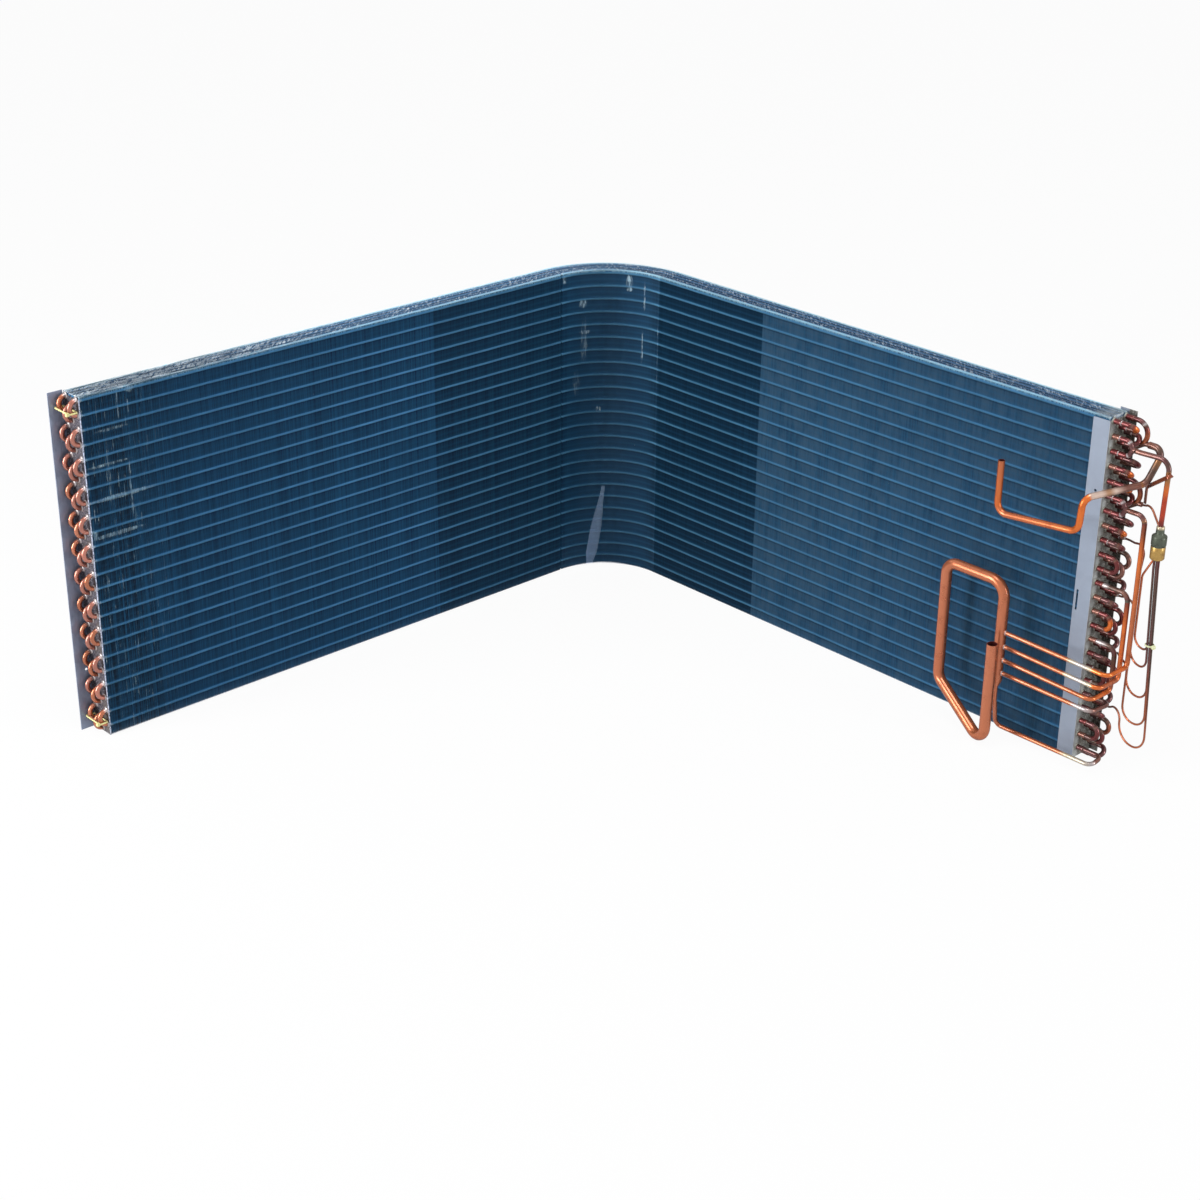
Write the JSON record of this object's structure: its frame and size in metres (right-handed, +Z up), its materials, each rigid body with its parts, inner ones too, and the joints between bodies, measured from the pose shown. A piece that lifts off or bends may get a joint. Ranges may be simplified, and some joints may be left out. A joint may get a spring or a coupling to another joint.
{
  "type": "condenser coil",
  "caption": "L-shaped finned-tube condenser coil with copper hairpin and return bends, end tube sheets, a brass distributor with capillaries, and open liquid and vapour pipes.",
  "frame": {"origin": "middle of the bounding box on the base plane that the coil stands on", "axes": "+Z up; +X along the leg that carries the pipes, from the corner to the pipe end; the other leg runs from the corner towards -Y"},
  "size_m": [1.0966, 1.0252, 0.5065],
  "materials": {
    "fins": "satin",
    "galvanised_steel": "satin",
    "copper": "gloss",
    "heated_copper": "satin",
    "brass": "satin",
    "tie_plastic": "matte"
  },
  "bodies": {
    "root": {"brace_strap": "heated_copper", "branch_pipe_1": "copper", "branch_pipe_2": "copper", "branch_pipe_3": "copper", "branch_pipe_4": "copper", "branch_pipe_5": "copper", "cable_tie_lower": "tie_plastic", "cable_tie_upper": "tie_plastic", "capillary_1": "heated_copper", "capillary_2": "heated_copper", "capillary_3": "heated_copper", "capillary_4": "heated_copper", "capillary_5": "heated_copper", "capillary_tie": "tie_plastic", "crossover_bends_front": "heated_copper", "crossover_bends_rear": "heated_copper", "distributor": "brass", "distributor_inlet_pipe": "heated_copper", "fin_pack_inner": "fins", "fin_pack_middle": "fins", "fin_pack_outer": "fins", "front_fork_lower": "heated_copper", "front_fork_upper": "heated_copper", "hairpin_bends_inner": "copper", "hairpin_bends_middle": "copper", "hairpin_bends_outer": "copper", "inlet_stubs": "heated_copper", "liquid_pipe": "heated_copper", "rear_fork_lower": "heated_copper", "rear_fork_upper": "heated_copper", "return_bends_inner": "heated_copper", "return_bends_middle": "heated_copper", "return_bends_outer": "heated_copper", "riser_pipe_1": "copper", "riser_pipe_2": "copper", "riser_pipe_3": "copper", "tube_sheet_left": "galvanised_steel", "tube_sheet_right": "galvanised_steel", "vapour_header": "copper"}
  },
  "joints": []
}
